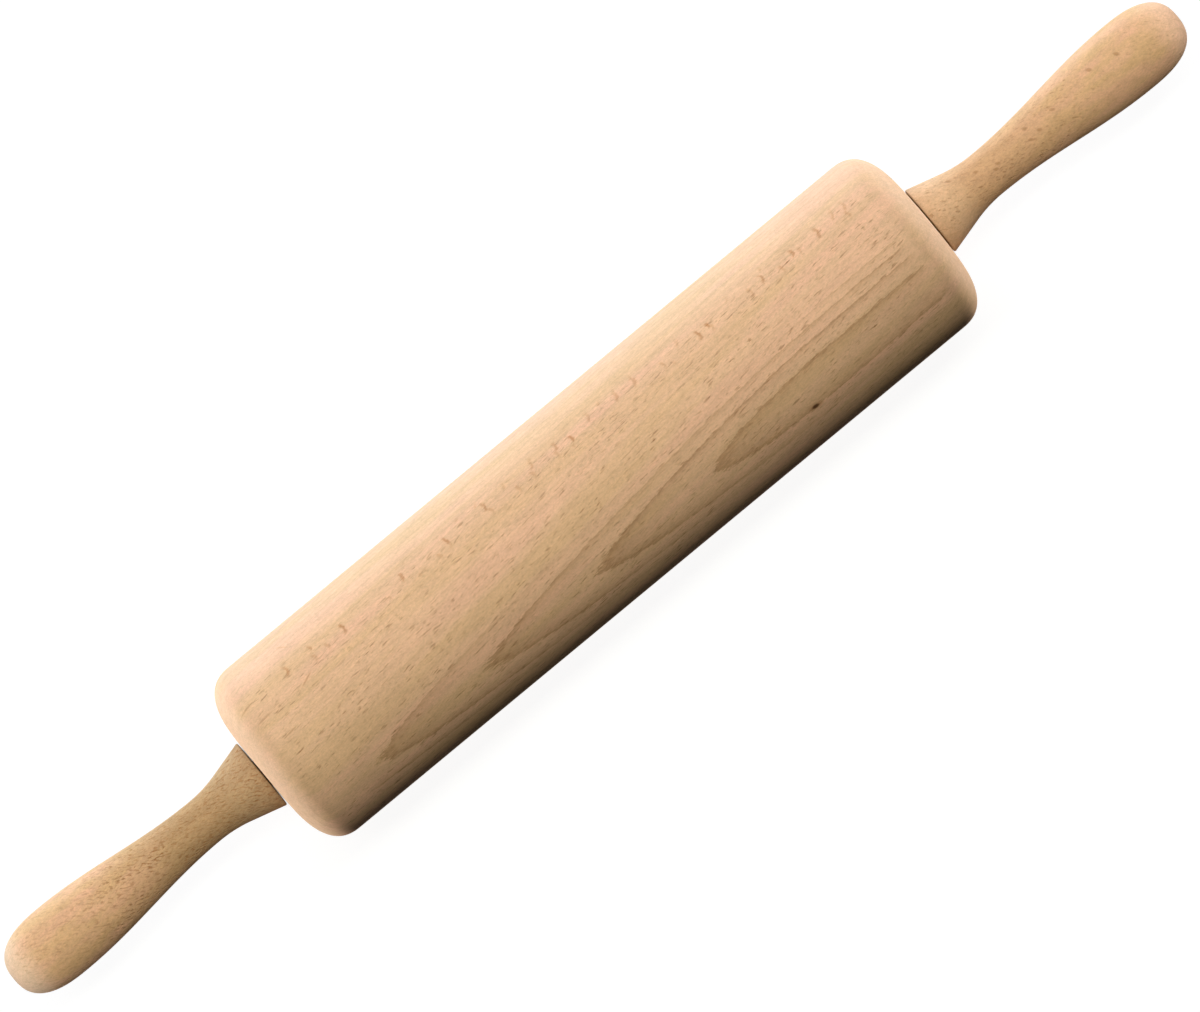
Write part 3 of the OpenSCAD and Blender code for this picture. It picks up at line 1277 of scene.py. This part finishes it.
@dataclass
class Studio:
    """The pale floor, the lamps and the white ground.

    The lengths that say where the paper is shaded are in millimetres. The lamps are fitted to how
    the light falls off over the wood: a wide one from the far side, a narrow one near the top, and
    cool ones from below that keep the underside from going black.
    """

    roller: bpy.types.Object
    handles: list[bpy.types.Object]
    floor_size: float = 16
    floor_glow: float = 0.92
    floor_colour: Colour = (0.16, 0.16, 0.16)
    floor_bounce: Colour = (0.02, 0.02, 0.02)
    # where the paper turns white, the painted shade under the roller and the painted pools of shade under
    # the handles' feet
    near_and_far: Span = (260, 600)
    shade_ends: Span = (124, 110)
    shade_edges: Span = (15, 3)
    shade_pool_along: float = 117
    shade_pool_reach: Cell = (17, 15)
    shade_pool_edges: Span = (1.0, 0.62)
    shade_pool_depth: float = 0.88
    lamps: tuple[Softbox, ...] = (
        Softbox("bounce", -125, 0, 0.7, 2.4, 69, (0.60, 0.79, 1.0)),
        Softbox("side", -68, 0, 1.8, 2.4, 29.5, (0.79, 0.84, 1.0)),
        Softbox("top", -12.4, 0, 0.35, 2.4, 28.1, (1.0, 1.0, 0.87)),
        Softbox("under", 166, 0, 0.5, 2.4, 13, (0.85, 0.9, 1.0)),
    )
    rim_lamps: tuple[Softbox, ...] = (
        Softbox("end_left", 180, -2.5, 0.4, 0.6, 22, distance=1.6),
        Softbox("end_right", 180, 2.5, 0.4, 0.6, 22, distance=1.6),
    )
    handle_lamps: tuple[Softbox, ...] = (
        Softbox("fill", 80, 0, 0.8, 2.4, 5.5),
        Softbox("tip_left", 0, -44, 0.12, 0.08, 0.23, (0.86, 0.9, 1.0), distance=0.38),
        Softbox("tip_right", 0, 44, 0.12, 0.08, 0.22, (0.86, 0.9, 1.0), distance=0.38),
    )

    def build(self) -> None:
        """Builds the floor, the ground and the lamps."""
        self.lay_floor()
        self.light_ground()
        for lamp in self.lamps:
            lamp.build()
        for lamp in self.rim_lamps:
            lamp.build_for([self.roller], [self.roller])
        for lamp in self.handle_lamps:
            lamp.build_for(self.handles, [self.roller, *self.handles])

    def lay_floor(self) -> None:
        """Lays the floor that the roller rests on, white to the lens but for the shadow.

        Light passes the floor from below, where the bounce of a wide white table comes from.
        """
        bpy.ops.object.select_all(action="DESELECT")
        bpy.ops.mesh.primitive_plane_add(size=self.floor_size, location=(0, 0, cad_box[0].z))
        floor = bpy.context.object
        floor.name = "floor"
        paper = bpy.data.materials.new("floor_paper")
        graph = Graph(paper)
        seen = graph.seen_directly()
        tone = seen.between(self.floor_bounce, self.floor_colour)
        diffuse = graph.node("BsdfDiffuse", {}, {"Color": tone})
        glow = graph.node("Emission", {}, {"Strength": seen * self.paper_glow(graph)})
        both = graph.node("AddShader", {}, {0: diffuse, 1: glow})
        graph.add("OutputMaterial", {}, {"Surface": both})
        floor.data.materials.append(paper)
        floor.visible_shadow = False

    def paper_glow(self, graph: Graph) -> Sock:
        """Works out how bright the paper is to the lens.

        Args:
            graph: the paper's graph.

        Returns:
            1 far away, a little less round the pin, and darker under the roller and the handles' feet,
            where shade is painted.
        """
        along, aside, _ = graph.place().parts()
        away = along.hypotenuse(aside).rise(*self.near_and_far)
        along, aside = abs(along), abs(aside)
        # painted shade under the roller, and painted pools of shade under the handles' feet
        under = along.rise(*self.shade_ends) * aside.rise(*self.shade_edges)
        long, wide = self.shade_pool_reach
        out = ((along - self.shade_pool_along) / long).hypotenuse(aside / wide)
        shade_pool = out.rise(*self.shade_pool_edges) * self.shade_pool_depth
        return (self.floor_glow + (1 - self.floor_glow) * away) * (1 - under) * (1 - shade_pool)

    def light_ground(self) -> None:
        """Makes the ground white to the lens and dark for the rest."""
        world = bpy.data.worlds.new("ground")
        graph = Graph(world)
        inputs = {"Color": (*WHITE, 1.0), "Strength": graph.seen_directly()}
        glow = graph.node("Background", {}, inputs)
        graph.add("OutputWorld", {}, {"Surface": glow})
        bpy.context.scene.world = world
        bpy.context.scene.view_settings.view_transform = "Standard"


def main() -> None:
    """Builds the pin and its studio."""
    logging.basicConfig(level=logging.INFO, format="%(name)s: %(message)s")
    roller = Roller().build()
    handles = [
        Handle(Side.LEFT, LeftHandleBeech("handle_beech_left")).build(),
        Handle(Side.RIGHT, RightHandleBeech("handle_beech_right")).build(),
    ]
    ring_steel = Steel("ring_steel", (0.70, 0.71, 0.73))
    rubber = Moulded("seal_rubber")
    finishes = {
        "outer_race": ring_steel,
        "inner_race": ring_steel,
        "balls": Steel("ball_steel", (0.80, 0.81, 0.83), roughness=0.08),
        "ball_cage": Brass("cage_brass"),
        "outboard_seal": rubber,
        "inboard_seal": rubber,
        "thrust_washer": Moulded("washer_plastic", (0.07, 0.04, 0.023), (0.16, 0.11, 0.07), 0.5),
        "snap_ring": Steel("spring_steel", (0.30, 0.31, 0.33), roughness=0.4),
    }
    for side in Side:
        log.info("bearing on the %s: %d pieces", side.word, Bearing(side, finishes).dress())
    Steel("axle_steel", lines=Lines.ALONG).lay_on(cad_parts["axle"])
    Studio(roller, handles).build()
    Camera().build()


if __name__ == "__main__":
    main()
